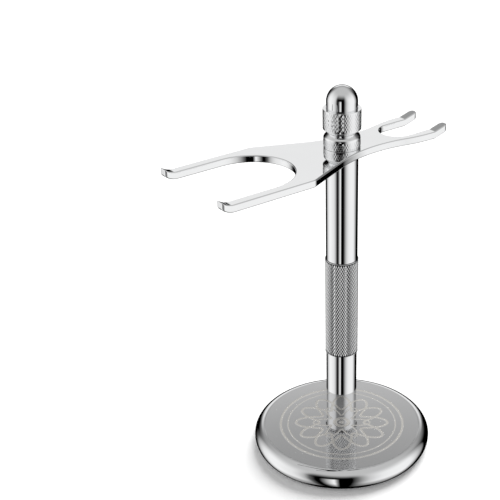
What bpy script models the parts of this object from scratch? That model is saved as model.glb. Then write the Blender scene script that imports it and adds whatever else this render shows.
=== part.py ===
"""Razor and brush stand: a heavy round base, a post set near its rear edge and a forked holder plate.

The origin is the centre of the base's underside, +Z up. The post stands at +Y of the centre. The wide
fork of the holder plate takes a shaving brush and the narrow fork takes a safety razor.
"""

import bpy
import bmesh
from math import asin, cos, pi, radians, sin, sqrt, tan
from mathutils import Matrix

MM = 0.001
GAP = 0.3 * MM            # clearance between neighbouring pieces
SEAM = 0.05 * MM          # clearance where two visible faces close on each other
FAR = 20 * MM             # how far a cutter runs past what it cuts
SEGMENTS = 64             # steps round a turned piece
SMALL_SEGMENTS = 32       # steps round an inner one
SMOOTH_ANGLE = radians(35)  # edges sharper than this stay sharp when shaded

# Base
BASE_RADIUS = 38.8 * MM
BASE_FLAT_RADIUS = 34.6 * MM
BASE_FOOT_RADIUS = 36.2 * MM
BASE_TOP = 9.2 * MM
BASE_WIDEST = 4.9 * MM    # height of the rim's widest point
BASE_UNDERSIDE = 0.6 * MM
PAD_RADIUS = 34.4 * MM
PAD_TOP = 1.2 * MM
RIM_STEPS = 7             # facets on each half of the rounded rim
BASE_SEGMENTS = 96        # steps round the disc

# Post, from the foot up to the holder plate
POST_Y = 28.9 * MM
POST_RADIUS = 7.0 * MM
POST_WALL = 1.2 * MM
FOOT_RECESS = 0.8 * MM    # depth of the seat in the base's top that the post stands in
GRIP_BOTTOM = 29.5 * MM
GRIP_TOP = 77.1 * MM
GRIP_RADIUS = 7.4 * MM
GRIP_CHAMFER = 0.3 * MM
STUD_RADIUS = 3.0 * MM    # M6 threads throughout
JOINT_STUD_REACH = 9 * MM
PLUG_LENGTH = 16 * MM

# Screw under the base
SCREW_HEAD_RADIUS = 4.6 * MM
SCREW_HEAD_BOTTOM = 1.8 * MM
SCREW_HEAD_TOP = 4.5 * MM
LOCK_WASHER_THICKNESS = 0.9 * MM
LOCK_WASHER_SPLIT = 1.2 * MM
HEX_SOCKET_RADIUS = 2.3 * MM
HEX_SOCKET_DEPTH = 1.5 * MM

# Holder plate, in its own frame: +X towards the razor fork, post axis at the origin
PLATE_TOP = 129.73 * MM
PLATE_THICKNESS = 3.15 * MM
PLATE_ANGLE = radians(38.3)
STUD_HOLE_RADIUS = STUD_RADIUS + GAP
BRUSH_RADIUS = 18.4 * MM          # half the brush opening
BRUSH_DEPTH = 19.8 * MM           # the opening's round end is a little longer than it is wide
BRUSH_CENTRE = -48.2 * MM
BRUSH_END = -74.8 * MM
BRUSH_TIP_START = -69.0 * MM      # where the arms begin to curl up
BRUSH_TIP_CURL = 8.8 * MM         # radius of that curl
BRUSH_TIP_CORNER = 1.1 * MM
ARM_CORNER = -31.4 * MM           # where the arms' straight edge meets the waist
FLANK_ANGLE = radians(23.5)       # of the waist's straight flank
WAIST_HALF_WIDTH = 8.85 * MM
WAIST_CENTRE = 13 * MM
WAIST_RADIUS = 60 * MM
RAZOR_RADIUS = 7.75 * MM          # half the razor slot
RAZOR_CENTRE = 30.5 * MM
RAZOR_END = 49.7 * MM
RAZOR_TIP_START = 42.2 * MM       # where the prongs bend up
RAZOR_TIP_ANGLE = radians(15.5)
PRONG_EDGE = 12.16 * MM           # outer edge of the razor prongs
TIP_CUTS = 4                      # cross cuts in each curled arm tip
BRUSH_END_STEPS = 14              # facets on half of the brush opening's round end

# Finial, heights measured from the plate's top
WASHER_THICKNESS = 0.5 * MM
CLAMP_WASHER_RADIUS = 5.6 * MM
CLAMP_WASHER_TOP = 1.1 * MM
CLAMP_RADIUS = 7.9 * MM
CLAMP_SHOULDER = 4.6 * MM
NECK_RADIUS = 6.1 * MM
NECK_HEIGHT = 6.4 * MM
COLLAR_RADIUS = 8.15 * MM
COLLAR_TAPER_RADIUS = 7.1 * MM
COLLAR_TAPER_BOTTOM = 7.1 * MM
COLLAR_TAPER_TOP = 8.1 * MM
COLLAR_RIM = 16.8 * MM
DOME_RADIUS = 6.67 * MM
DOME_BOTTOM = 12.6 * MM
DOME_CENTRE = 19.9 * MM
DOME_SPIGOT_BOTTOM = 10.8 * MM
TOP_STUD_TOP = 9.0 * MM
TOP_STUD_DEPTH = 14 * MM
DOME_STEPS = 10


def clear_scene():
    for obj in list(bpy.data.objects):
        bpy.data.objects.remove(obj, do_unlink=True)


def collection_named(name):
    found = bpy.data.collections.new(name)
    bpy.context.scene.collection.children.link(found)
    return found


def material_named(name, colour, metallic, roughness):
    material = bpy.data.materials.new(name)
    material.use_nodes = True
    shader = material.node_tree.nodes["Principled BSDF"]
    shader.inputs["Base Color"].default_value = (*colour, 1)
    shader.inputs["Metallic"].default_value = metallic
    shader.inputs["Roughness"].default_value = roughness
    return material


def turned(name, profile, material, collection, closed=False, segments=SEGMENTS):
    """A piece turned round the post's axis from (radius, height) points, outer side top to bottom.

    An open profile starts and ends on the axis; a closed one is the section of a ring.
    """
    mesh = bpy.data.meshes.new(name)
    edges = [(i, i + 1) for i in range(len(profile) - 1)]
    if closed:
        edges.append((len(profile) - 1, 0))
    mesh.from_pydata([(radius, 0, height) for radius, height in profile], edges, [])
    mesh.materials.append(material)
    piece = bpy.data.objects.new(name, mesh)
    piece.location = (0, POST_Y, 0)
    collection.objects.link(piece)
    screw = piece.modifiers.new("Turn", "SCREW")
    screw.axis = "Z"
    screw.angle = 2 * pi
    screw.steps = segments
    screw.render_steps = segments
    screw.use_merge_vertices = True
    screw.merge_threshold = 0.00001
    return piece


def shade(piece):
    """Applies the piece's modifiers and shades it smooth, with its real edges left sharp."""
    mesh = bpy.data.meshes.new_from_object(piece.evaluated_get(bpy.context.evaluated_depsgraph_get()))
    piece.modifiers.clear()
    piece.data = mesh
    mesh.shade_smooth()
    mesh.set_sharp_from_angle(angle=SMOOTH_ANGLE)


def ring(outer, inner, top, bottom):
    """Section of a plain ring, for a closed turned profile."""
    return [(outer, top), (outer, bottom), (inner, bottom), (inner, top)]


def rod(radius, top, bottom):
    """Profile of a plain solid cylinder, for an open turned profile."""
    return [(0, top), (radius, top), (radius, bottom), (0, bottom)]


def arc(centre, radius, start, end, steps):
    """Points on an arc from angle start to angle end, both included."""
    angles = [start + (end - start) * i / steps for i in range(steps + 1)]
    return [(centre[0] + radius * cos(a), centre[1] + radius * sin(a)) for a in angles]


def cut(piece, cutter):
    boolean = piece.modifiers.new("Cut " + cutter.name, "BOOLEAN")
    boolean.operation = "DIFFERENCE"
    boolean.solver = "EXACT"
    boolean.object = cutter
    cutter.hide_render = True
    cutter.display_type = "WIRE"


def mesh_from_curve(name, curve, material, collection):
    """Turns a filled 2D curve into a closed mesh object."""
    mesh = bpy.data.meshes.new_from_object(curve.evaluated_get(bpy.context.evaluated_depsgraph_get()))
    mesh.name = name
    mesh.materials.clear()
    mesh.materials.append(material)
    sheet = bmesh.new()
    sheet.from_mesh(mesh)
    bmesh.ops.remove_doubles(sheet, verts=sheet.verts, dist=0.01 * MM)
    sheet.to_mesh(mesh)
    sheet.free()
    piece = bpy.data.objects.new(name, mesh)
    piece.matrix_world = curve.matrix_world
    collection.objects.link(piece)
    bpy.data.objects.remove(curve, do_unlink=True)
    return piece


def flat_curve(name, outlines, thickness, collection):
    """A filled 2D curve from closed outlines; an outline inside another is a hole in it."""
    data = bpy.data.curves.new(name + "_outline", "CURVE")
    data.dimensions = "2D"
    data.fill_mode = "BOTH"
    data.extrude = thickness / 2
    for outline in outlines:
        spline = data.splines.new("POLY")
        spline.points.add(len(outline) - 1)
        for point, (x, y) in zip(spline.points, outline):
            point.co = (x, y, 0, 1)
        spline.use_cyclic_u = True
    curve = bpy.data.objects.new(name + "_outline", data)
    collection.objects.link(curve)
    return curve


# ---------------------------------------------------------------- base

def base_profile():
    """The disc's section: flat top, rounded rim, and a recess underneath for the pad."""
    bulge = BASE_RADIUS - BASE_FLAT_RADIUS
    tuck = BASE_RADIUS - BASE_FOOT_RADIUS
    shoulder = [
        (
            BASE_FLAT_RADIUS + bulge * sin(pi / 2 * i / RIM_STEPS),
            BASE_WIDEST + (BASE_TOP - BASE_WIDEST) * cos(pi / 2 * i / RIM_STEPS),
        )
        for i in range(RIM_STEPS + 1)
    ]
    foot = [
        (
            BASE_FOOT_RADIUS + tuck * cos(pi / 2 * i / RIM_STEPS),
            BASE_WIDEST - (BASE_WIDEST - BASE_UNDERSIDE) * sin(pi / 2 * i / RIM_STEPS),
        )
        for i in range(1, RIM_STEPS + 1)
    ]
    recess = PAD_RADIUS + GAP
    ceiling = PAD_TOP + GAP
    return [(0, BASE_TOP), *shoulder, *foot, (recess, BASE_UNDERSIDE), (recess, ceiling), (0, ceiling)]


def make_base(parts, cutters, chrome, foam):
    disc = turned("base_disc", base_profile(), chrome, parts, segments=BASE_SEGMENTS)
    disc.location = (0, 0, 0)
    pad = turned("base_pad", rod(PAD_RADIUS, PAD_TOP, 0), foam, parts)
    pad.location = (0, 0, 0)
    seat = POST_RADIUS + GAP
    shank = STUD_RADIUS + GAP
    head = SCREW_HEAD_RADIUS + GAP
    floor = BASE_TOP - FOOT_RECESS
    shelf = SCREW_HEAD_TOP + LOCK_WASHER_THICKNESS + 2 * GAP
    bore_profile = [
        (0, FAR),
        (seat, FAR),
        (seat, floor),
        (shank, floor),
        (shank, shelf),
        (head, shelf),
        (head, -FAR),
        (0, -FAR),
    ]
    cut(disc, turned("base_bore_cutter", bore_profile, chrome, cutters))


def make_base_screw(parts, cutters, steel):
    """Socket-head screw pointing up into the foot post, with a split washer over its head."""
    top = SCREW_HEAD_TOP + JOINT_STUD_REACH
    screw = turned(
        "base_screw",
        [
            (0, top),
            (STUD_RADIUS, top),
            (STUD_RADIUS, SCREW_HEAD_TOP),
            (SCREW_HEAD_RADIUS, SCREW_HEAD_TOP),
            (SCREW_HEAD_RADIUS, SCREW_HEAD_BOTTOM),
            (0, SCREW_HEAD_BOTTOM),
        ],
        steel,
        parts,
        segments=SMALL_SEGMENTS,
    )
    socket = turned(
        "hex_socket_cutter",
        rod(HEX_SOCKET_RADIUS, SCREW_HEAD_BOTTOM + HEX_SOCKET_DEPTH, -FAR),
        steel,
        cutters,
        segments=6,
    )
    cut(screw, socket)
    bottom = SCREW_HEAD_TOP + GAP
    washer = turned(
        "base_lock_washer",
        ring(SCREW_HEAD_RADIUS - GAP, STUD_RADIUS + GAP, bottom + LOCK_WASHER_THICKNESS, bottom),
        steel,
        parts,
        closed=True,
        segments=SMALL_SEGMENTS,
    )
    bpy.ops.mesh.primitive_cube_add(size=1)
    split = bpy.context.object
    split.name = "washer_split_cutter"
    split.scale = (FAR, LOCK_WASHER_SPLIT, FAR)
    split.location = (FAR / 2, POST_Y, 0)
    for holder in list(split.users_collection):
        holder.objects.unlink(split)
    cutters.objects.link(split)
    cut(washer, split)


# ---------------------------------------------------------------- post

def make_post(parts, chrome, steel, brass):
    foot_bottom = BASE_TOP - FOOT_RECESS + GAP
    foot_top = GRIP_BOTTOM - SEAM
    upper_bottom = GRIP_TOP + SEAM
    upper_top = PLATE_TOP - PLATE_THICKNESS - WASHER_THICKNESS - 2 * GAP
    bore = STUD_RADIUS + GAP
    tube_bore = POST_RADIUS - POST_WALL

    turned("foot_post", ring(POST_RADIUS, bore, foot_top, foot_bottom), chrome, parts, closed=True)
    turned(
        "grip_coupler",
        [
            (GRIP_RADIUS - GRIP_CHAMFER, GRIP_TOP),
            (GRIP_RADIUS, GRIP_TOP - GRIP_CHAMFER),
            (GRIP_RADIUS, GRIP_BOTTOM + GRIP_CHAMFER),
            (GRIP_RADIUS - GRIP_CHAMFER, GRIP_BOTTOM),
            (bore, GRIP_BOTTOM),
            (bore, GRIP_TOP),
        ],
        chrome,
        parts,
        closed=True,
    )
    turned("upper_post", ring(POST_RADIUS, tube_bore, upper_top, upper_bottom), chrome, parts, closed=True)

    plug = tube_bore - GAP
    turned(
        "upper_post_bottom_plug",
        ring(plug, bore, upper_bottom + PLUG_LENGTH, upper_bottom),
        brass,
        parts,
        closed=True,
        segments=SMALL_SEGMENTS,
    )
    turned(
        "upper_post_top_plug",
        ring(plug, bore, upper_top, upper_top - PLUG_LENGTH),
        brass,
        parts,
        closed=True,
        segments=SMALL_SEGMENTS,
    )
    for name, joint, reach in (
        ("lower_joint_stud", GRIP_BOTTOM, JOINT_STUD_REACH),
        ("upper_joint_stud", GRIP_TOP, JOINT_STUD_REACH),
    ):
        turned(name, rod(STUD_RADIUS, joint + reach, joint - reach), steel, parts, segments=SMALL_SEGMENTS)
    turned(
        "top_stud",
        rod(STUD_RADIUS, PLATE_TOP + TOP_STUD_TOP, upper_top - TOP_STUD_DEPTH),
        steel,
        parts,
        segments=SMALL_SEGMENTS,
    )


# ---------------------------------------------------------------- holder plate

def waist_edge():
    """Outer edge from the razor prong to the brush arm, on the +Y side, running towards -X."""
    flank_start = WAIST_CENTRE - WAIST_RADIUS * sin(FLANK_ANGLE)
    concave_top = (WAIST_CENTRE, WAIST_HALF_WIDTH + WAIST_RADIUS)
    rise = PRONG_EDGE - WAIST_HALF_WIDTH
    half_turn = asin(sqrt(rise * (WAIST_RADIUS - rise / 4)) / WAIST_RADIUS)
    prong_start = WAIST_CENTRE + 2 * WAIST_RADIUS * sin(half_turn)
    convex_bottom = (prong_start, PRONG_EDGE - WAIST_RADIUS)
    prong_side = arc(convex_bottom, WAIST_RADIUS, pi / 2, pi / 2 + half_turn, 5)
    waist = arc(concave_top, WAIST_RADIUS, -pi / 2 + half_turn, -pi / 2 - FLANK_ANGLE, 14)
    flank_run = flank_start - ARM_CORNER
    flank_top = WAIST_HALF_WIDTH + WAIST_RADIUS * (1 - cos(FLANK_ANGLE)) + flank_run * tan(FLANK_ANGLE)
    return [*prong_side, *waist[1:], (ARM_CORNER, flank_top)]


def plate_outline():
    """The plate's edge, anticlockwise, in its own frame."""
    corner = BRUSH_TIP_CORNER
    prong_middle = (PRONG_EDGE + RAZOR_RADIUS) / 2
    prong_radius = (PRONG_EDGE - RAZOR_RADIUS) / 2
    edge = waist_edge()
    arm_edge = edge[-1][1]
    brush_end = [
        (BRUSH_CENTRE + BRUSH_DEPTH * x, BRUSH_RADIUS * y)
        for x, y in arc((0, 0), 1, pi / 2, 0, BRUSH_END_STEPS)
    ]
    half = [
        *arc((RAZOR_CENTRE, 0), RAZOR_RADIUS, pi, pi / 2, 10)[1:],
        *arc((RAZOR_END - prong_radius, prong_middle), prong_radius, -pi / 2, pi / 2, 10),
        *edge,
        *arc((BRUSH_END + corner, arm_edge - corner), corner, pi / 2, pi, 3),
        *arc((BRUSH_END + corner, BRUSH_RADIUS + corner), corner, pi, 3 * pi / 2, 3),
        *brush_end,
    ]
    mirrored = [(x, -y) for x, y in reversed(half[:-1])]
    return [*half, *mirrored, (RAZOR_CENTRE - RAZOR_RADIUS, 0)]


def tip_rise(x):
    """How far the plate is lifted at x: brush arms curl up on an arc, razor prongs bend up straight."""
    if x < BRUSH_TIP_START:
        return BRUSH_TIP_CURL - sqrt(BRUSH_TIP_CURL**2 - (BRUSH_TIP_START - x) ** 2)
    if x > RAZOR_TIP_START:
        return (x - RAZOR_TIP_START) * tan(RAZOR_TIP_ANGLE)
    return 0


def make_holder_plate(parts, chrome):
    hole = arc((0, 0), STUD_HOLE_RADIUS, 0, 2 * pi, 32)[:-1]
    curve = flat_curve("holder_plate", [plate_outline(), hole], PLATE_THICKNESS, parts)
    plate = mesh_from_curve("holder_plate", curve, chrome, parts)
    curl = BRUSH_TIP_START - BRUSH_END
    cuts = [BRUSH_TIP_START - curl * i / TIP_CUTS for i in range(TIP_CUTS)]
    sheet = bmesh.new()
    sheet.from_mesh(plate.data)
    for x in [*cuts, RAZOR_TIP_START]:
        everything = [*sheet.verts, *sheet.edges, *sheet.faces]
        bmesh.ops.bisect_plane(sheet, geom=everything, plane_co=(x, 0, 0), plane_no=(1, 0, 0))
    for vertex in sheet.verts:
        vertex.co.z += tip_rise(vertex.co.x)
    bmesh.ops.triangulate(sheet, faces=sheet.faces)
    bmesh.ops.recalc_face_normals(sheet, faces=sheet.faces)
    sheet.to_mesh(plate.data)
    sheet.free()
    middle = Matrix.Translation((0, POST_Y, PLATE_TOP - PLATE_THICKNESS / 2))
    plate.matrix_world = middle @ Matrix.Rotation(PLATE_ANGLE, 4, "Z")


# ---------------------------------------------------------------- finial

def make_finial(parts, chrome, nylon):
    """Washers, clamp nut, collar and dome, stacked on the stud above the plate."""
    bore = STUD_RADIUS + GAP
    under = PLATE_TOP - PLATE_THICKNESS - GAP
    turned(
        "swivel_washer",
        ring(POST_RADIUS - GAP, bore, under, under - WASHER_THICKNESS),
        nylon,
        parts,
        closed=True,
    )
    turned(
        "clamp_washer",
        ring(CLAMP_WASHER_RADIUS, bore, PLATE_TOP + CLAMP_WASHER_TOP, PLATE_TOP + GAP),
        nylon,
        parts,
        closed=True,
    )
    recess = CLAMP_WASHER_RADIUS + GAP
    clamp_profile = [
        (NECK_RADIUS, NECK_HEIGHT),
        (CLAMP_RADIUS, CLAMP_SHOULDER),
        (CLAMP_RADIUS, SEAM),
        (recess, SEAM),
        (recess, CLAMP_WASHER_TOP + GAP),
        (bore, CLAMP_WASHER_TOP + GAP),
        (bore, NECK_HEIGHT),
    ]
    collar_profile = [
        (DOME_RADIUS + SEAM, COLLAR_RIM),
        (COLLAR_RADIUS, COLLAR_RIM),
        (COLLAR_RADIUS, COLLAR_TAPER_TOP),
        (COLLAR_TAPER_RADIUS, COLLAR_TAPER_BOTTOM),
        (NECK_RADIUS, NECK_HEIGHT + SEAM),
        (bore, NECK_HEIGHT + SEAM),
        (bore, DOME_BOTTOM - GAP),
        (DOME_RADIUS + SEAM, DOME_BOTTOM - GAP),
    ]
    turned("clamp_nut", raised(clamp_profile), chrome, parts, closed=True)
    turned("finial_collar", raised(collar_profile), chrome, parts, closed=True)
    crown = arc((0, DOME_CENTRE), DOME_RADIUS, pi / 2, 0, DOME_STEPS)
    crown[0] = (0, DOME_CENTRE + DOME_RADIUS)
    dome_profile = [
        *crown,
        (DOME_RADIUS, DOME_BOTTOM),
        (STUD_RADIUS, DOME_BOTTOM),
        (STUD_RADIUS, DOME_SPIGOT_BOTTOM),
        (0, DOME_SPIGOT_BOTTOM),
    ]
    turned("dome_cap", raised(dome_profile), chrome, parts)


def raised(profile):
    """A finial profile lifted from the plate's top to its height on the stand."""
    return [(radius, PLATE_TOP + height) for radius, height in profile]


def main():
    clear_scene()
    parts = collection_named("razor_stand")
    cutters = collection_named("cutters")
    chrome = material_named("chrome", (0.86, 0.87, 0.88), 1.0, 0.06)
    steel = material_named("steel", (0.55, 0.56, 0.57), 1.0, 0.3)
    brass = material_named("brass", (0.72, 0.55, 0.27), 1.0, 0.3)
    nylon = material_named("nylon", (0.88, 0.88, 0.84), 0.0, 0.45)
    foam = material_named("foam", (0.03, 0.03, 0.03), 0.0, 0.9)
    make_base(parts, cutters, chrome, foam)
    make_base_screw(parts, cutters, steel)
    make_post(parts, chrome, steel, brass)
    make_holder_plate(parts, chrome)
    make_finial(parts, chrome, nylon)
    for piece in parts.objects:
        shade(piece)


main()
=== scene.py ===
"""Looks of the razor and brush stand: polished chrome, a satin etched base and real knurling."""

from collections import namedtuple
from math import atan2, ceil, cos, degrees, pi, radians, sin, sqrt, tan

import bmesh
import bpy
from mathutils import Matrix, Vector


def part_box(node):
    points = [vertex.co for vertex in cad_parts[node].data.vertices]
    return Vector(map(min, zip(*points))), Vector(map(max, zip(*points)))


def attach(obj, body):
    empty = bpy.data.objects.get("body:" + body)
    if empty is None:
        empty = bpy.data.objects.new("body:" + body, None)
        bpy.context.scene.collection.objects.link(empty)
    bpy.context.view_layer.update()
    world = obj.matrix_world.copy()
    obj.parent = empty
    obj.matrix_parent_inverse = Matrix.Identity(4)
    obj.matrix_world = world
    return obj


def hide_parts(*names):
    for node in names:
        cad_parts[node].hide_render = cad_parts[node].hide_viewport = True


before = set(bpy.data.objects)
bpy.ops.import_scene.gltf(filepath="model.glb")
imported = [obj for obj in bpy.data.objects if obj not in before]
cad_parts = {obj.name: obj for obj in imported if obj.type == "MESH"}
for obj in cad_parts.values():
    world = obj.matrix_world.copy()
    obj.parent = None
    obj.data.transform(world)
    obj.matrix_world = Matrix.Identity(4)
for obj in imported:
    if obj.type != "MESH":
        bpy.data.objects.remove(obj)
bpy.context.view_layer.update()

MM = 0.001
GAP = 0.3 * MM                    # clearance between neighbouring pieces of the frame
SEAM = 0.05 * MM                  # clearance where two visible faces close on each other
TINY = 0.001 * MM                 # shorter than this counts as nothing

# Holder plate, in its own frame: +X towards the razor fork, post axis at the origin
PLATE_ANGLE = radians(38.3)
BRUSH_RADIUS = 18.4 * MM
BRUSH_DEPTH = 19.8 * MM
BRUSH_CENTRE = -48.2 * MM
BRUSH_END = -74.8 * MM
BRUSH_TIP_START = -69.0 * MM
BRUSH_TIP_CURL = 8.8 * MM
BRUSH_TIP_CORNER = 1.1 * MM
ARM_CORNER = -31.4 * MM
ARM_CORNER_RADIUS = 4.0 * MM
FLANK_ANGLE = radians(23.5)
WAIST_HALF_WIDTH = 8.85 * MM
WAIST_CENTRE = 13 * MM
WAIST_RADIUS = 60 * MM
RAZOR_RADIUS = 7.75 * MM
RAZOR_CENTRE = 30.5 * MM
RAZOR_END = 49.7 * MM
RAZOR_TIP_START = 42.2 * MM
RAZOR_TIP_ANGLE = radians(15.5)
RAZOR_BEND_RADIUS = 2.2 * MM
PRONG_EDGE = 12.16 * MM
PLATE_EDGE = 0.6 * MM             # rounding of the plate's edges
PLATE_EDGE_STEPS = 4
CURL_CUTS = 16                    # how often the plate is cut across for each tip's curl
BEND_CUTS = 7

# Base
BASE_RIM = 4.2 * MM               # how far the rim reaches beyond the flat top
BASE_TUCK = 2.6 * MM              # how far it comes back in at the foot
BASE_WIDEST = 4.9 * MM
BASE_FLAT_SINK = 0.07 * MM        # the satin top lies this much below the rim's crest
STEP_FOOT = 0.25 * MM             # the step up to the rim runs between these distances inside it
STEP_HEAD = 0.12 * MM

# Etched ornament on the base: (radius, half the line's width) of its rings, and
# (radius, swing, half the line's width) of its rosette's wavy lines
RINGS = ((27.2 * MM, 0.5 * MM), (24.0 * MM, 0.28 * MM), (3.0 * MM, 0.8 * MM))
ROSETTE = (
    (15.2 * MM, 5.2 * MM, 0.55 * MM),
    (15.2 * MM, -5.2 * MM, 0.55 * MM),
    (9.0 * MM, 3.6 * MM, 0.35 * MM),
)
PETALS = 6
LINE_SOFTNESS = 0.06 * MM
AXIS_CLEARANCE = 0.1 * MM         # keeps the rosette's slope finite at its centre

# Knurling
GRIP_DIAMONDS = 45                # round the grip
GRIP_DIAMOND_LENGTH = 1.95 * MM
GRIP_KNURL_DEPTH = 0.18 * MM
GRIP_CHAMFER = 0.18 * MM
FINIAL_DIAMONDS = 48
FINIAL_DIAMOND_LENGTH = 1.8 * MM
FINIAL_KNURL_DEPTH = 0.06 * MM
KNURL_MARGIN = 0.12 * MM          # from the end of a knurled side to the groove that closes it
GROOVE_SHADE_START = 0.6               # share of the knurl's depth where the painted shade in its grooves begins

# Post
TUBE_WALL = 1.2 * MM
TUBE_FILLET = 0.12 * MM
THREAD_PITCH = 1.0 * MM
THREAD_DEPTH = 0.55 * MM
THREAD_POINT = 0.6 * MM           # chamfer at each end of the stud
THREAD_STEEPNESS = 1.3
THREAD_CREST = 0.15

# Finial, heights measured from the plate's top
CLAMP_SHOULDER = 4.6 * MM
CLAMP_SHOULDER_ROUNDING = 1.4 * MM
NECK_RADIUS = 6.1 * MM
COLLAR_TAPER_RADIUS = 7.1 * MM
COLLAR_TAPER_BOTTOM = 7.1 * MM
COLLAR_TAPER_TOP = 8.1 * MM
RIM_DEPTH = 0.05 * MM             # faces this close to the collar's top are its polished rim
DOME_SPIGOT_LENGTH = 1.8 * MM

# Steps in which a profile's fillet is divided
FILLET_TURN = 12                  # degrees
FILLET_RADIUS = 0.35 * MM

# Camera and light
CAMERA_PLACE = (-0.0022, -0.4274, 0.3066)
CAMERA_PITCH = radians(62.07)
CAMERA_LENS = 83.1                # mm, on a 36 mm sensor
CAMERA_SHIFT = (-0.1735, 0.0646)
AMBIENT = 0.35                    # the world's light on the floor and other dull surfaces
OVERHEAD = 0.54                   # what a mirror sees above the cards,
WINDOW = 0.86                     # in the window high up behind the stand,
NEAR_FLOOR = 0.4                  # and, as a share, in the shade close to the floor

POST_LOW, POST_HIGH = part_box("foot_post")
POST_Y = (POST_HIGH.y + POST_LOW.y) / 2
PLATE_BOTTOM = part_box("holder_plate")[0].z
PLATE_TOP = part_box("clamp_washer")[0].z - GAP
STUD_RADIUS = (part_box("top_stud")[1].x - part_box("top_stud")[0].x) / 2
BORE = STUD_RADIUS + GAP

Row = namedtuple("Row", "radius height normal_radius normal_height")
Corner = namedtuple("Corner", "radius height fillet knurl", defaults=(0, 0))


# ---------------------------------------------------------------- shader helpers

def feed(tree, socket, value):
    """Gives a socket a number, a colour or another node's output."""
    if isinstance(value, (int, float)):
        socket.default_value = value
    elif isinstance(value, tuple):
        socket.default_value = (*value, 1)
    else:
        tree.links.new(value, socket)


def math_node(tree, operation, first, second=0.0):
    node = tree.nodes.new("ShaderNodeMath")
    node.operation = operation
    feed(tree, node.inputs[0], first)
    feed(tree, node.inputs[1], second)
    return node.outputs[0]


def product(tree, first, *others):
    for other in others:
        first = math_node(tree, "MULTIPLY", first, other)
    return first


def length_of(tree, x, y):
    squares = math_node(tree, "ADD", product(tree, x, x), product(tree, y, y))
    return math_node(tree, "SQRT", squares)


def split_vector(tree, vector):
    """The vector's x, y and z."""
    parts = tree.nodes.new("ShaderNodeSeparateXYZ")
    tree.links.new(vector, parts.inputs[0])
    return parts.outputs


def smooth_step(tree, value, low, high, start=0.0, end=1.0):
    """start below low, end above high, and a smooth ramp between them."""
    node = tree.nodes.new("ShaderNodeMapRange")
    node.interpolation_type = "SMOOTHSTEP"
    tree.links.new(value, node.inputs["Value"])
    node.inputs["From Min"].default_value = low
    node.inputs["From Max"].default_value = high
    node.inputs["To Min"].default_value = start
    node.inputs["To Max"].default_value = end
    return node.outputs["Result"]


def blend_floats(tree, factor, first, second):
    node = tree.nodes.new("ShaderNodeMix")
    node.data_type = "FLOAT"
    feed(tree, node.inputs[0], factor)
    feed(tree, node.inputs[2], first)
    feed(tree, node.inputs[3], second)
    return node.outputs[0]


def blend_colours(tree, factor, first, second):
    node = tree.nodes.new("ShaderNodeMix")
    node.data_type = "RGBA"
    feed(tree, node.inputs[0], factor)
    feed(tree, node.inputs[6], first)
    feed(tree, node.inputs[7], second)
    return node.outputs[2]


def noise(tree, vector, scale, detail=3.0, roughness=0.5):
    node = tree.nodes.new("ShaderNodeTexNoise")
    tree.links.new(vector, node.inputs["Vector"])
    node.inputs["Scale"].default_value = scale
    node.inputs["Detail"].default_value = detail
    node.inputs["Roughness"].default_value = roughness
    return node.outputs["Fac"]


def stretched(tree, vector, factors):
    node = tree.nodes.new("ShaderNodeMapping")
    tree.links.new(vector, node.inputs["Vector"])
    node.inputs["Scale"].default_value = factors
    return node.outputs["Vector"]


def bumped(tree, height, distance, strength, normal=None):
    node = tree.nodes.new("ShaderNodeBump")
    node.inputs["Strength"].default_value = strength
    node.inputs["Distance"].default_value = distance
    tree.links.new(height, node.inputs["Height"])
    if normal is not None:
        tree.links.new(normal, node.inputs["Normal"])
    return node.outputs["Normal"]


def new_material(name):
    material = bpy.data.materials.new(name)
    material.use_nodes = True
    tree = material.node_tree
    shader = tree.nodes["Principled BSDF"]
    place = tree.nodes.new("ShaderNodeTexCoord").outputs["Object"]
    return material, tree, shader, place


def metal(name, dark, light, roughness, cloud_scale, scratch_stretch, wave):
    """Metal with cloudy tint, wiped streaks in its gloss and a faint waviness in its surface."""
    material, tree, shader, place = new_material(name)
    shader.inputs["Metallic"].default_value = 1.0
    clouds = noise(tree, place, cloud_scale)
    tree.links.new(blend_colours(tree, clouds, dark, light), shader.inputs["Base Color"])
    streaks = noise(tree, stretched(tree, place, scratch_stretch), 900, detail=5)
    tree.links.new(smooth_step(tree, streaks, 0.3, 0.75, *roughness), shader.inputs["Roughness"])
    tree.links.new(wavy(tree, place, wave), shader.inputs["Normal"])
    return material


def wavy(tree, place, wave):
    """Normals of a surface that is not quite even."""
    return bumped(tree, noise(tree, place, 90, detail=1), wave, 0.25)


def chrome_material():
    return metal(
        "chrome",
        dark=(0.90, 0.905, 0.91),
        light=(0.94, 0.945, 0.95),
        roughness=(0.015, 0.05),
        cloud_scale=60,
        scratch_stretch=(1, 1, 0.08),
        wave=0.02 * MM,
    )


def knurl_material():
    """Chrome over shallow knurling: a little duller, and finely mottled."""
    return metal(
        "knurled_chrome",
        dark=(0.86, 0.865, 0.87),
        light=(0.93, 0.935, 0.94),
        roughness=(0.04, 0.12),
        cloud_scale=700,
        scratch_stretch=(1, 1, 1),
        wave=0.02 * MM,
    )


def grip_material(radius):
    """Chrome over deep knurling: bright crests, and painted shade darkening the grooves to near black."""
    material, tree, shader, place = new_material("grip_chrome")
    shader.inputs["Metallic"].default_value = 1.0
    x, y, _ = split_vector(tree, place)
    distance = length_of(tree, x, math_node(tree, "SUBTRACT", y, POST_Y))
    depth = math_node(tree, "SUBTRACT", radius, distance)
    # painted shade: the base colour goes to near black with depth down in the knurl's grooves
    groove = smooth_step(tree, depth, GROOVE_SHADE_START * GRIP_KNURL_DEPTH, GRIP_KNURL_DEPTH)
    crest = blend_colours(tree, noise(tree, place, 700), (0.84, 0.845, 0.85), (0.93, 0.935, 0.94))
    tree.links.new(blend_colours(tree, groove, crest, (0.04, 0.04, 0.042)), shader.inputs["Base Color"])
    tree.links.new(blend_floats(tree, groove, 0.03, 0.25), shader.inputs["Roughness"])
    tree.links.new(wavy(tree, place, 0.02 * MM), shader.inputs["Normal"])
    return material


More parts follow.
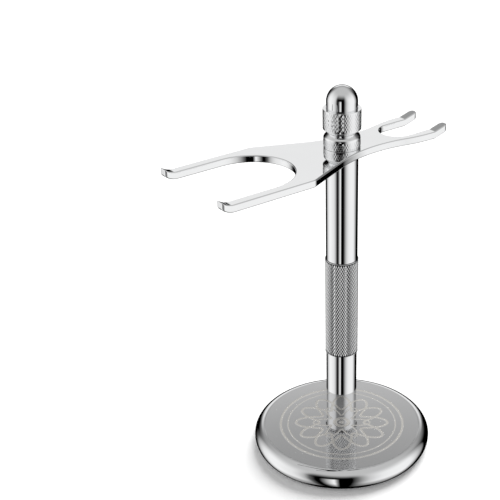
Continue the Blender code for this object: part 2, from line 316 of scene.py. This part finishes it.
def zinc_material():
    return metal(
        "zinc_steel",
        dark=(0.42, 0.43, 0.45),
        light=(0.60, 0.60, 0.58),
        roughness=(0.25, 0.45),
        cloud_scale=500,
        scratch_stretch=(1, 1, 6),
        wave=0.03 * MM,
    )


def brass_material():
    return metal(
        "turned_brass",
        dark=(0.62, 0.44, 0.18),
        light=(0.80, 0.62, 0.32),
        roughness=(0.18, 0.40),
        cloud_scale=400,
        scratch_stretch=(0.1, 0.1, 9),
        wave=0.03 * MM,
    )


def nylon_material():
    """Milky nylon washers with a fine moulded grain."""
    material, tree, shader, place = new_material("nylon")
    clouds = noise(tree, place, 300)
    colour = blend_colours(tree, clouds, (0.80, 0.79, 0.74), (0.90, 0.90, 0.87))
    tree.links.new(colour, shader.inputs["Base Color"])
    grain = noise(tree, place, 4000, detail=2)
    tree.links.new(smooth_step(tree, grain, 0.3, 0.7, 0.35, 0.55), shader.inputs["Roughness"])
    tree.links.new(bumped(tree, grain, 0.05 * MM, 0.3), shader.inputs["Normal"])
    shader.inputs["Subsurface Weight"].default_value = 0.1
    return material


def foam_material():
    """Black closed-cell foam: fine cells in a cloudy, dull black."""
    material, tree, shader, place = new_material("foam")
    cells = tree.nodes.new("ShaderNodeTexVoronoi")
    tree.links.new(place, cells.inputs["Vector"])
    cells.inputs["Scale"].default_value = 2200
    clouds = noise(tree, place, 500)
    colour = blend_colours(tree, clouds, (0.010, 0.010, 0.011), (0.045, 0.045, 0.048))
    tree.links.new(colour, shader.inputs["Base Color"])
    tree.links.new(smooth_step(tree, clouds, 0.3, 0.7, 0.8, 0.97), shader.inputs["Roughness"])
    tree.links.new(bumped(tree, cells.outputs["Distance"], 0.2 * MM, 0.6), shader.inputs["Normal"])
    return material


def ring_line(tree, distance, radius, half_width):
    """1 on a circle's line and 0 off it."""
    offset = math_node(tree, "ABSOLUTE", math_node(tree, "SUBTRACT", distance, radius))
    return line_of_width(tree, offset, half_width)


def line_of_width(tree, offset, half_width):
    return smooth_step(tree, offset, half_width - LINE_SOFTNESS, half_width + LINE_SOFTNESS, 1.0, 0.0)


def rosette_line(tree, distance, angle, radius, swing, half_width):
    """1 on the line radius + swing * cos(PETALS * angle), of an even width all round, and 0 off it."""
    turn = product(tree, angle, PETALS)
    curve = product(tree, math_node(tree, "COSINE", turn), swing)
    slope = product(tree, math_node(tree, "SINE", turn), swing * PETALS)
    slant = math_node(tree, "DIVIDE", slope, distance)
    stretch = math_node(tree, "SQRT", math_node(tree, "ADD", product(tree, slant, slant), 1.0))
    offset = math_node(tree, "SUBTRACT", math_node(tree, "SUBTRACT", distance, radius), curve)
    offset = math_node(tree, "DIVIDE", math_node(tree, "ABSOLUTE", offset), stretch)
    return line_of_width(tree, offset, half_width)


def emblem_mask(tree, place):
    """The base's etched ornament: rings round an interlaced rosette."""
    x, y, _ = split_vector(tree, place)
    distance = math_node(tree, "MAXIMUM", length_of(tree, x, y), AXIS_CLEARANCE)
    angle = math_node(tree, "ARCTAN2", y, x)
    lines = [ring_line(tree, distance, *ring) for ring in RINGS]
    lines += [rosette_line(tree, distance, angle, *line) for line in ROSETTE]
    mask = lines[0]
    for line in lines[1:]:
        mask = math_node(tree, "MAXIMUM", mask, line)
    return mask


def satin_material():
    """The base's flat top: finely brushed nickel with a paler, duller etched ornament."""
    material, tree, shader, place = new_material("satin_nickel")
    mask = emblem_mask(tree, place)
    brushing = noise(tree, stretched(tree, place, (1, 12, 1)), 1500, detail=4)
    clouds = noise(tree, place, 45)
    plain = blend_colours(tree, clouds, (0.76, 0.765, 0.77), (0.82, 0.82, 0.825))
    colour = blend_colours(tree, mask, plain, (0.78, 0.76, 0.72))
    tree.links.new(colour, shader.inputs["Base Color"])
    tree.links.new(blend_floats(tree, mask, 0.96, 0.84), shader.inputs["Metallic"])
    gloss = smooth_step(tree, brushing, 0.25, 0.75, 0.03, 0.07)
    tree.links.new(blend_floats(tree, mask, gloss, 0.22), shader.inputs["Roughness"])
    sunk = bumped(tree, mask, -0.04 * MM, 0.5)
    tree.links.new(bumped(tree, brushing, 0.002 * MM, 0.1, sunk), shader.inputs["Normal"])
    return material


# ---------------------------------------------------------------- turned and knurled pieces

def ellipse_rows(centre, across, up, start, end, steps):
    """Rows along an ellipse's arc, each with its true normal."""
    rows = []
    for i in range(steps + 1):
        angle = start + (end - start) * i / steps
        normal = Vector((cos(angle) / across, sin(angle) / up)).normalized()
        rows.append(Row(centre[0] + across * cos(angle), centre[1] + up * sin(angle), *normal))
    return rows


def side_normal(first, second):
    """Outward normal of a stretch of profile that runs from first to second."""
    along = (second - first).normalized()
    return Vector((-along.y, along.x))


def fillet_rows(before, corner, after, fillet):
    """Rows round a corner, from the normal of the side before it to that of the side after it."""
    first, second = side_normal(before, corner), side_normal(corner, after)
    turn = first.angle_signed(second)
    reach = min(fillet * tan(abs(turn) / 2), (before - corner).length, (after - corner).length)
    radius = reach / tan(abs(turn) / 2)
    start = corner + (before - corner).normalized() * reach
    outward = 1 if turn > 0 else -1
    centre = start - first * radius * outward
    steps = max(2, ceil(degrees(abs(turn)) / FILLET_TURN), ceil(radius / FILLET_RADIUS))
    rows = []
    for i in range(steps + 1):
        normal = first.copy()
        normal.rotate(Matrix.Rotation(-turn * i / steps, 2))
        rows.append(Row(*(centre + normal * radius * outward), *normal))
    return rows


def knurl_rows(first, last, depth, length):
    """(row, depth) pairs between two rows: diamonds, with a plain groove at each end."""
    start, end = Vector(first[:2]), Vector(last[:2])
    normal = Vector(first[2:])
    along = (end - start).normalized()
    run = (end - start).length - 2 * KNURL_MARGIN
    count = max(2, round(run / (length / 2)))
    groove = start + along * KNURL_MARGIN - normal * depth
    pairs = [(Row(*groove, *normal), 0)]
    for i in range(1, count):
        middle = start + along * (KNURL_MARGIN + run * i / count)
        pairs.append((Row(*middle, *normal), depth))
    groove = end - along * KNURL_MARGIN - normal * depth
    pairs.append((Row(*groove, *normal), 0))
    return pairs


def profile_rows(items, closed, diamond_length):
    """(row, knurl depth) pairs down a profile of corners and ready rows."""
    places = [Vector(item[:2]) for item in items]
    count = len(items)
    groups = []
    for i, item in enumerate(items):
        if isinstance(item, Row):
            groups.append([item])
        elif not closed and i in (0, count - 1):
            pair = (places[0], places[1]) if i == 0 else (places[-2], places[-1])
            groups.append([Row(*places[i], *side_normal(*pair))])
        else:
            groups.append(fillet_rows(places[i - 1], places[i], places[(i + 1) % count], item.fillet))
    pairs = []
    for i, group in enumerate(groups):
        pairs += [(row, 0) for row in group]
        depth = getattr(items[i], "knurl", 0)
        if depth:
            pairs += knurl_rows(group[-1], groups[(i + 1) % count][0], depth, diamond_length)
    return pairs


def turned(name, items, material, columns=128, closed=False, diamond_length=1, centre=(0, POST_Y)):
    """A piece turned round a vertical axis, with true normals, and facets where it is knurled."""
    pairs = profile_rows(items, closed, diamond_length)
    while pairs[1][0].radius < TINY:
        del pairs[0]
    verts, normals, rings = [], [], []
    for j, (row, depth) in enumerate(pairs):
        on_axis = row.radius < TINY
        ring = []
        for k in range(1 if on_axis else columns):
            across, along = cos(2 * pi * k / columns), sin(2 * pi * k / columns)
            sunk = depth if (j + k) % 2 else 0
            radius = row.radius - sunk * row.normal_radius
            height = row.height - sunk * row.normal_height
            ring.append(len(verts))
            verts.append((centre[0] + radius * across, centre[1] + radius * along, height))
            normals.append((row.normal_radius * across, row.normal_radius * along, row.normal_height))
        rings.append(ring)
    faces, faceted = [], []
    for j in range(len(rings) if closed else len(rings) - 1):
        upper, lower = rings[j], rings[(j + 1) % len(rings)]
        knurled = bool(pairs[j][1] or pairs[(j + 1) % len(pairs)][1])
        for k in range(columns):
            here, there = k, (k + 1) % columns
            if len(upper) == 1:
                made = [(upper[0], lower[here], lower[there])]
            elif len(lower) == 1:
                made = [(upper[there], upper[here], lower[0])]
            elif not knurled:
                made = [(upper[here], lower[here], lower[there], upper[there])]
            else:
                made = split_quad(upper[here], lower[here], lower[there], upper[there], (j + k) % 2)
            faces += made
            faceted += [knurled] * len(made)
    return mesh_piece(name, verts, faces, normals, material, faceted)


def knurled_ring(name, items, material, diamonds, diamond_length):
    """A turned ring whose knurled sides have this many diamonds round them."""
    return turned(name, items, material, 2 * diamonds, closed=True, diamond_length=diamond_length)


def split_quad(a, b, c, d, through_a):
    """Two triangles that meet along the groove between two diamonds."""
    return [(a, b, c), (a, c, d)] if through_a else [(b, c, d), (b, d, a)]


def mesh_piece(name, verts, faces, normals, material, faceted=None):
    """An object with a normal for each vertex, except on faces that are listed as faceted."""
    mesh = bpy.data.meshes.new(name)
    mesh.from_pydata(verts, [], faces)
    mesh.update()
    mesh.materials.append(material)
    mesh.shade_smooth()
    loops = []
    for polygon in mesh.polygons:
        flat = faceted is not None and faceted[polygon.index]
        loops += [tuple(polygon.normal) if flat else normals[v] for v in polygon.vertices]
    mesh.normals_split_custom_set(loops)
    piece = bpy.data.objects.new(name, mesh)
    bpy.context.scene.collection.objects.link(piece)
    return piece


def ring_profile(outer, inner, low, high, fillet):
    """Profile of a plain ring, closed."""
    return [
        Corner(outer, high, fillet),
        Corner(outer, low, fillet),
        Corner(inner, low, fillet),
        Corner(inner, high, fillet),
    ]


def size_of(node):
    """(radius, lowest point, highest point) of a round CAD node."""
    low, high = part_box(node)
    return (high.x - low.x) / 2, low.z, high.z


def stand_in(piece, node, body):
    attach(piece, body)
    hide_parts(node)


# ---------------------------------------------------------------- pieces

def make_base(chrome, satin):
    radius, low, high = size_of("base_disc")
    flat = radius - BASE_RIM
    pad_radius, _, pad_top = size_of("base_pad")
    crest_middle = (flat, BASE_WIDEST)
    foot_middle = (radius - BASE_TUCK, BASE_WIDEST)
    crest = ellipse_rows(crest_middle, BASE_RIM, high - BASE_WIDEST, pi / 2, 0, steps=24)
    foot = ellipse_rows(foot_middle, BASE_TUCK, BASE_WIDEST - low, 0, -pi / 2, steps=16)
    items = [
        Corner(0, high - BASE_FLAT_SINK),
        Corner(flat - STEP_FOOT, high - BASE_FLAT_SINK, 0.05 * MM),
        Corner(flat - STEP_HEAD, high, 0.05 * MM),
        *crest,
        *foot[1:],
        Corner(pad_radius + GAP, low, 0.15 * MM),
        Corner(pad_radius + GAP, pad_top + GAP, 0.1 * MM),
        Corner(0, pad_top + GAP),
    ]
    base = turned("base_shell", items, chrome, columns=256, centre=(0, 0))
    base.data.materials.append(satin)
    for polygon in base.data.polygons:
        faces_up = polygon.normal.z > 0.999
        height = polygon.center.z
        is_flat_top = faces_up and BASE_WIDEST < height < high - 0.9 * BASE_FLAT_SINK
        polygon.material_index = int(is_flat_top)
    base.visible_glossy = False
    stand_in(base, "base_disc", "stand")


def make_pad(foam):
    radius, low, high = size_of("base_pad")
    items = [
        Corner(0, high),
        Corner(radius, high, 0.2 * MM),
        Corner(radius, low, 0.3 * MM),
        Corner(0, low),
    ]
    pad = turned("foam_pad", items, foam, columns=128, centre=(0, 0))
    pad.visible_glossy = False
    stand_in(pad, "base_pad", "stand")


def make_post(chrome):
    for node, piece in (("foot_post", "foot_tube"), ("upper_post", "upper_tube")):
        radius, low, high = size_of(node)
        inner = BORE if node == "foot_post" else radius - TUBE_WALL
        tube = turned(piece, ring_profile(radius, inner, low, high, TUBE_FILLET), chrome, closed=True)
        stand_in(tube, node, "stand")
    radius, low, high = size_of("grip_coupler")
    items = [
        Corner(radius - GRIP_CHAMFER, high, 0.08 * MM),
        Corner(radius, high - GRIP_CHAMFER, 0.1 * MM, GRIP_KNURL_DEPTH),
        Corner(radius, low + GRIP_CHAMFER, 0.1 * MM),
        Corner(radius - GRIP_CHAMFER, low, 0.08 * MM),
        Corner(BORE, low, 0.1 * MM),
        Corner(BORE, high, 0.1 * MM),
    ]
    grip = knurled_ring("grip_sleeve", items, grip_material(radius), GRIP_DIAMONDS, GRIP_DIAMOND_LENGTH)
    stand_in(grip, "grip_coupler", "stand")


def make_top_stud(zinc):
    """The M6 stud on which the finial turns, with its thread."""
    radius, low, high = size_of("top_stud")
    columns = 36
    rows_per_turn = 8
    rows = round((high - low) / THREAD_PITCH * rows_per_turn)
    verts = []
    for j in range(rows + 1):
        height = low + (high - low) * j / rows
        end = min(height - low, high - height)
        widest = radius - max(0, THREAD_POINT - end)
        for k in range(columns):
            phase = ((height - low) / THREAD_PITCH - k / columns) % 1
            flank = min(1, max(0, abs(2 * phase - 1) * THREAD_STEEPNESS - THREAD_CREST))
            grown = min(radius - THREAD_DEPTH * flank, widest)
            angle = 2 * pi * k / columns
            verts.append((grown * cos(angle), POST_Y + grown * sin(angle), height))
    faces = []
    for j in range(rows):
        for k in range(columns):
            there = (k + 1) % columns
            a, b = j * columns + k, j * columns + there
            faces.append((a, b, b + columns, a + columns))
    faces.append(tuple(reversed(range(columns))))
    faces.append(tuple(range(rows * columns, (rows + 1) * columns)))
    mesh = bpy.data.meshes.new("stud_thread")
    mesh.from_pydata(verts, [], faces)
    mesh.materials.append(zinc)
    mesh.shade_smooth()
    mesh.set_sharp_from_angle(angle=radians(38))
    stud = bpy.data.objects.new("stud_thread", mesh)
    bpy.context.scene.collection.objects.link(stud)
    stand_in(stud, "top_stud", "stand")


def make_washers(nylon):
    for node, piece, body in (
        ("swivel_washer", "swivel_ring", "stand"),
        ("clamp_washer", "clamp_gasket", "clamp_ring"),
    ):
        radius, low, high = size_of(node)
        profile = ring_profile(radius, BORE, low, high, 0.1 * MM)
        washer = turned(piece, profile, nylon, columns=96, closed=True)
        stand_in(washer, node, body)


def make_finial(chrome, knurl):
    radius, low, high = size_of("clamp_nut")
    shoulder = PLATE_TOP + CLAMP_SHOULDER
    recess = size_of("clamp_washer")[0] + GAP
    ceiling = size_of("clamp_washer")[2] + GAP
    items = [
        Corner(NECK_RADIUS, high, 0.2 * MM),
        Corner(radius, shoulder, CLAMP_SHOULDER_ROUNDING, FINIAL_KNURL_DEPTH),
        Corner(radius, low, 0.08 * MM),
        Corner(recess, low, 0.1 * MM),
        Corner(recess, ceiling, 0.1 * MM),
        Corner(BORE, ceiling, 0.1 * MM),
        Corner(BORE, high, 0.1 * MM),
    ]
    nut = knurled_ring("knurled_nut", items, knurl, FINIAL_DIAMONDS, FINIAL_DIAMOND_LENGTH)
    polish(nut, chrome, shoulder - CLAMP_SHOULDER_ROUNDING / 2)
    stand_in(nut, "clamp_nut", "finial")

    radius, low, high = size_of("finial_collar")
    dome_radius, dome_low, dome_top = size_of("dome_cap")
    seat = dome_low + DOME_SPIGOT_LENGTH
    items = [
        Corner(dome_radius + SEAM, high, 0.05 * MM),
        Corner(radius, high, 0.1 * MM, FINIAL_KNURL_DEPTH),
        Corner(radius, PLATE_TOP + COLLAR_TAPER_TOP, 0.2 * MM, FINIAL_KNURL_DEPTH),
        Corner(COLLAR_TAPER_RADIUS, PLATE_TOP + COLLAR_TAPER_BOTTOM, 0.2 * MM),
        Corner(NECK_RADIUS, low, 0.15 * MM),
        Corner(BORE, low, 0.1 * MM),
        Corner(BORE, seat - GAP, 0.1 * MM),
        Corner(dome_radius + SEAM, seat - GAP, 0.1 * MM),
    ]
    collar = knurled_ring("knurled_collar", items, knurl, FINIAL_DIAMONDS, FINIAL_DIAMOND_LENGTH)
    polish(collar, chrome, high - RIM_DEPTH)
    stand_in(collar, "finial_collar", "finial")

    items = [
        Corner(0, dome_top),
        Corner(dome_radius, dome_top, dome_radius),
        Corner(dome_radius, seat, 0.1 * MM),
        Corner(STUD_RADIUS, seat, 0.1 * MM),
        Corner(STUD_RADIUS, dome_low, 0.1 * MM),
        Corner(0, dome_low),
    ]
    dome = turned("dome_knob", items, chrome, columns=160)
    stand_in(dome, "dome_cap", "finial")


def polish(piece, chrome, above):
    """Gives the faces whose middle is above a height bright chrome."""
    piece.data.materials.append(chrome)
    for polygon in piece.data.polygons:
        polygon.material_index = int(polygon.center.z > above)


# ---------------------------------------------------------------- holder plate

def arc_points(centre, radius, start, end, steps, hollow=False):
    """(x, y, normal x, normal y) along an arc; the normals of a hollow one point at its centre."""
    points = []
    for i in range(steps + 1):
        angle = start + (end - start) * i / steps
        across, up = cos(angle), sin(angle)
        sign = -1 if hollow else 1
        points.append((centre[0] + radius * across, centre[1] + radius * up, sign * across, sign * up))
    return points


def brush_end_points(steps):
    points = []
    for i in range(steps + 1):
        angle = pi / 2 * (1 - i / steps)
        normal = -Vector((cos(angle) / BRUSH_DEPTH, sin(angle) / BRUSH_RADIUS)).normalized()
        points.append((BRUSH_CENTRE + BRUSH_DEPTH * cos(angle), BRUSH_RADIUS * sin(angle), *normal))
    return points


def waist_points():
    """Outer edge from the razor prong to the corner of the brush arm, on the +Y side."""
    rise = PRONG_EDGE - WAIST_HALF_WIDTH
    half_run = sqrt(rise * (WAIST_RADIUS - rise / 4))
    half_turn = atan2(half_run, WAIST_RADIUS - rise / 2)
    prong_middle = (WAIST_CENTRE + 2 * half_run, PRONG_EDGE - WAIST_RADIUS)
    prong = arc_points(prong_middle, WAIST_RADIUS, pi / 2, pi / 2 + half_turn, steps=12)
    waist_middle = (WAIST_CENTRE, WAIST_HALF_WIDTH + WAIST_RADIUS)
    start, end = -pi / 2 + half_turn, -pi / 2 - FLANK_ANGLE
    waist = arc_points(waist_middle, WAIST_RADIUS, start, end, steps=32, hollow=True)
    foot_x, foot_y = waist[-1][:2]
    corner = Vector((ARM_CORNER, foot_y + (foot_x - ARM_CORNER) * tan(FLANK_ANGLE)))
    flank_normal = Vector((sin(FLANK_ANGLE), cos(FLANK_ANGLE)))
    inward = (flank_normal + Vector((0, 1))) / (1 + cos(FLANK_ANGLE))
    middle = corner - ARM_CORNER_RADIUS * inward
    bend = arc_points(middle, ARM_CORNER_RADIUS, pi / 2 - FLANK_ANGLE, pi / 2, steps=6)
    return [*prong, *waist[1:], *bend], corner.y


def plate_outline():
    """The plate's edge, anticlockwise, as (x, y, normal x, normal y)."""
    waist, arm_edge = waist_points()
    corner = BRUSH_TIP_CORNER
    prong_middle = (PRONG_EDGE + RAZOR_RADIUS) / 2
    prong_radius = (PRONG_EDGE - RAZOR_RADIUS) / 2
    tip = BRUSH_END + corner
    half = [
        *arc_points((RAZOR_CENTRE, 0), RAZOR_RADIUS, pi, pi / 2, steps=24, hollow=True),
        *arc_points((RAZOR_END - prong_radius, prong_middle), prong_radius, -pi / 2, pi / 2, steps=20),
        *waist,
        *arc_points((tip, arm_edge - corner), corner, pi / 2, pi, steps=8),
        *arc_points((tip, BRUSH_RADIUS + corner), corner, pi, 3 * pi / 2, steps=8),
        *brush_end_points(steps=40),
    ]
    mirrored = [(x, -y, nx, -ny) for x, y, nx, ny in reversed(half[1:-1])]
    return [*half, *mirrored]


def tip_bend(x):
    """(rise, slope) of the plate at x: the brush arms curl up, the razor prongs bend up."""
    if x < BRUSH_TIP_START:
        run = BRUSH_TIP_START - x
        down = sqrt(BRUSH_TIP_CURL**2 - run**2)
        return BRUSH_TIP_CURL - down, -run / down
    run = x - RAZOR_TIP_START + RAZOR_BEND_RADIUS * tan(RAZOR_TIP_ANGLE / 2)
    bend = RAZOR_BEND_RADIUS * sin(RAZOR_TIP_ANGLE)
    if run <= 0:
        return 0, 0
    if run < bend:
        down = sqrt(RAZOR_BEND_RADIUS**2 - run**2)
        return RAZOR_BEND_RADIUS - down, run / down
    return (x - RAZOR_TIP_START) * tan(RAZOR_TIP_ANGLE), tan(RAZOR_TIP_ANGLE)


def bend_places():
    """Where the plate is cut across so that its tips can bend smoothly."""
    curl = BRUSH_TIP_START - BRUSH_END
    places = [BRUSH_TIP_START - curl * i / CURL_CUTS for i in range(CURL_CUTS)]
    start = RAZOR_TIP_START - RAZOR_BEND_RADIUS * tan(RAZOR_TIP_ANGLE / 2)
    bend = RAZOR_BEND_RADIUS * sin(RAZOR_TIP_ANGLE)
    return places + [start + bend * i / (BEND_CUTS - 1) for i in range(BEND_CUTS)]


def edge_section(thickness):
    """(inset, height, share of the side's normal, share of the up normal) from top to bottom."""
    rounds = []
    for i in range(PLATE_EDGE_STEPS + 1):
        angle = pi / 2 * i / PLATE_EDGE_STEPS
        inset = PLATE_EDGE * (1 - sin(angle))
        rounds.append((inset, thickness / 2 - PLATE_EDGE * (1 - cos(angle)), sin(angle), cos(angle)))
    return rounds + [(inset, -height, side, -up) for inset, height, side, up in reversed(rounds)]


def flat_sheet(thickness):
    """The plate before its tips are bent, and the layer that holds each vertex's normal."""
    hole = arc_points((0, 0), BORE, 0, -2 * pi, steps=48, hollow=True)[:-1]
    sheet = bmesh.new()
    hint = sheet.verts.layers.float_vector.new("normal_hint")
    rims = ([], [])
    for outline in (plate_outline(), hole):
        rings = []
        for inset, height, side, up in edge_section(thickness):
            ring = []
            for x, y, nx, ny in outline:
                vert = sheet.verts.new((x - nx * inset, y - ny * inset, height))
                vert[hint] = (nx * side, ny * side, up)
                ring.append(vert)
            rings.append(ring)
        for upper, lower in zip(rings, rings[1:]):
            for k in range(len(outline)):
                there = (k + 1) % len(outline)
                sheet.faces.new((upper[k], lower[k], lower[there], upper[there]))
        for rim, ring in zip(rims, (rings[0], rings[-1])):
            rim += [sheet.edges.get((ring[k], ring[k - 1])) for k in range(len(ring))]
    for rim in rims:
        bmesh.ops.triangle_fill(sheet, use_beauty=True, edges=rim)
    bmesh.ops.recalc_face_normals(sheet, faces=sheet.faces)
    across = (1, 0, 0)
    for x in bend_places():
        everything = [*sheet.verts, *sheet.edges, *sheet.faces]
        bmesh.ops.bisect_plane(sheet, geom=everything, dist=TINY, plane_co=(x, 0, 0), plane_no=across)
    return sheet, hint


def make_holder(chrome):
    sheet, hint = flat_sheet(PLATE_TOP - PLATE_BOTTOM)
    normals = []
    middle = Vector((0, POST_Y, (PLATE_TOP + PLATE_BOTTOM) / 2))
    swivel = Matrix.Rotation(PLATE_ANGLE, 3, "Z")
    sheet.verts.index_update()
    for vert in sheet.verts:
        rise, slope = tip_bend(vert.co.x)
        vert.co.z += rise
        vert.co = middle + swivel @ vert.co
        flat = vert[hint]
        normals.append((swivel @ Vector((flat.x - slope * flat.z, flat.y, flat.z))).normalized())
    mesh = bpy.data.meshes.new("holder_blade")
    sheet.to_mesh(mesh)
    sheet.free()
    mesh.materials.append(chrome)
    mesh.shade_smooth()
    mesh.normals_split_custom_set_from_vertices(normals)
    blade = bpy.data.objects.new("holder_blade", mesh)
    bpy.context.scene.collection.objects.link(blade)
    stand_in(blade, "holder_plate", "holder")


# ---------------------------------------------------------------- studio

# Brightness of the studio round the stand, by compass angle in degrees: 0 is the camera's side, 90 is +X.
# Black cards stand behind the stand and in front of it, with a narrow light strip between the front ones.
SURROUND = (
    (-180, 0.0), (-140, 0.0), (-132, 0.10), (-124, 0.45), (-111, 0.82), (-98, 0.95), (-87, 0.96),
    (-75, 0.90), (-62, 0.84), (-54, 0.72), (-46, 0.50), (-39, 0.12), (-32, 0.0), (-26, 0.0),
    (-21, 0.22), (-15, 0.62), (-9, 1.0), (-6, 0.35), (-3, 0.0), (13, 0.0), (19, 0.14),
    (26, 0.38), (34, 0.62), (42, 0.76), (50, 0.87), (60, 0.92), (74, 0.94), (92, 0.92),
    (102, 0.68), (112, 0.40), (118, 0.20), (122, 0.0),
)


def surround_ramp(tree, bearing):
    """The studio's brightness at a bearing, read off SURROUND."""
    ramp = tree.nodes.new("ShaderNodeValToRGB")
    turn = math_node(tree, "ADD", math_node(tree, "DIVIDE", bearing, 2 * pi), 0.5)
    tree.links.new(turn, ramp.inputs["Fac"])
    stops = ramp.color_ramp.elements
    while len(stops) < len(SURROUND):
        stops.new(0.5)
    for stop, (angle, brightness) in zip(stops, SURROUND):
        stop.position = angle / 360 + 0.5
        stop.color = (brightness, brightness, brightness, 1)
    return ramp.outputs["Color"]


def studio_brightness(tree, bearing, height):
    """What a mirror sees at a bearing in radians and a height in degrees."""
    aside = math_node(tree, "ABSOLUTE", bearing)
    in_front = smooth_step(tree, aside, radians(26), radians(50), 1.0, 0.0)
    left_of_card = smooth_step(tree, bearing, radians(1), radians(9), 1.0, 0.0)
    strip_end = product(tree, in_front, left_of_card, smooth_step(tree, height, 3, 14))
    surround = blend_floats(tree, strip_end, surround_ramp(tree, bearing), 0.0)
    over_cards = smooth_step(tree, height, 8, 62)
    over_sides = smooth_step(tree, height, 18, 62)
    overhead = blend_floats(tree, in_front, over_cards, over_sides)
    surround = blend_floats(tree, overhead, surround, OVERHEAD)
    behind = smooth_step(tree, aside, radians(150), radians(166))
    window_foot = smooth_step(tree, height, 6, 14)
    window_head = smooth_step(tree, height, 27, 39, 1.0, 0.0)
    window = product(tree, behind, window_foot, window_head)
    surround = blend_floats(tree, window, surround, WINDOW)
    dimming = smooth_step(tree, height, -62, -38, NEAR_FLOOR, 1.0)
    contact = smooth_step(tree, height, -74, -62)
    return product(tree, surround, dimming, contact)


def make_world():
    """Plain white to the camera, AMBIENT to dull surfaces, and the studio to mirrors."""
    world = bpy.data.worlds.new("studio")
    bpy.context.scene.world = world
    world.use_nodes = True
    world.cycles.sampling_method = "NONE"
    tree = world.node_tree
    direction = tree.nodes.new("ShaderNodeTexCoord").outputs["Generated"]
    x, y, z = split_vector(tree, direction)
    bearing = math_node(tree, "ARCTAN2", x, product(tree, y, -1.0))
    height = product(tree, math_node(tree, "ARCSINE", z), 180 / pi)
    surround = studio_brightness(tree, bearing, height)
    rays = tree.nodes.new("ShaderNodeLightPath")
    plain = blend_floats(tree, rays.outputs["Is Camera Ray"], AMBIENT, 1.0)
    seen = blend_floats(tree, rays.outputs["Is Glossy Ray"], plain, surround)
    background = tree.nodes["Background"]
    colour = tree.nodes.new("ShaderNodeCombineColor")
    for socket in colour.inputs:
        tree.links.new(seen, socket)
    tree.links.new(colour.outputs[0], background.inputs["Color"])


def make_light(name, place, spread, strength):
    """A soft far light that shines from a place towards the origin."""
    data = bpy.data.lights.new(name, "SUN")
    data.angle = spread
    data.energy = strength
    light = bpy.data.objects.new(name, data)
    light.location = place
    light.rotation_euler = (-Vector(place)).to_track_quat("-Z", "Y").to_euler()
    light.visible_glossy = False
    bpy.context.scene.collection.objects.link(light)


def make_floor():
    material, tree, shader, place = new_material("pale_floor")
    clouds = noise(tree, place, 8)
    colour = blend_colours(tree, clouds, (0.93, 0.93, 0.93), (0.95, 0.95, 0.95))
    tree.links.new(colour, shader.inputs["Base Color"])
    shader.inputs["Roughness"].default_value = 0.6
    shader.inputs["Specular IOR Level"].default_value = 0.2
    sheet = bmesh.new()
    bmesh.ops.create_grid(sheet, x_segments=1, y_segments=1, size=4)
    mesh = bpy.data.meshes.new("floor")
    sheet.to_mesh(mesh)
    sheet.free()
    mesh.materials.append(material)
    floor = bpy.data.objects.new("floor", mesh)
    floor.visible_glossy = False
    bpy.context.scene.collection.objects.link(floor)


def make_camera():
    data = bpy.data.cameras.new("camera")
    data.lens = CAMERA_LENS
    data.sensor_width = 36
    data.shift_x, data.shift_y = CAMERA_SHIFT
    data.clip_start = 0.01
    camera = bpy.data.objects.new("camera", data)
    camera.location = CAMERA_PLACE
    camera.rotation_euler = (CAMERA_PITCH, 0, 0)
    bpy.context.scene.collection.objects.link(camera)
    bpy.context.scene.camera = camera


def paint(nodes, material):
    for node in nodes:
        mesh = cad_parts[node].data
        mesh.materials.clear()
        mesh.materials.append(material)


def main():
    make_camera()
    bpy.context.scene.view_settings.view_transform = "Standard"
    make_world()
    make_light("key", (0.35, 0.75, 0.80), radians(48), 4.2)
    make_light("fill", (-0.5, -0.3, 1.0), radians(70), 0.5)
    make_floor()
    chrome, knurl, zinc = chrome_material(), knurl_material(), zinc_material()
    make_base(chrome, satin_material())
    make_post(chrome)
    make_holder(chrome)
    make_top_stud(zinc)
    make_washers(nylon_material())
    make_finial(chrome, knurl)
    make_pad(foam_material())
    paint(["base_screw", "base_lock_washer", "lower_joint_stud", "upper_joint_stud"], zinc)
    paint(["upper_post_bottom_plug", "upper_post_top_plug"], brass_material())


main()
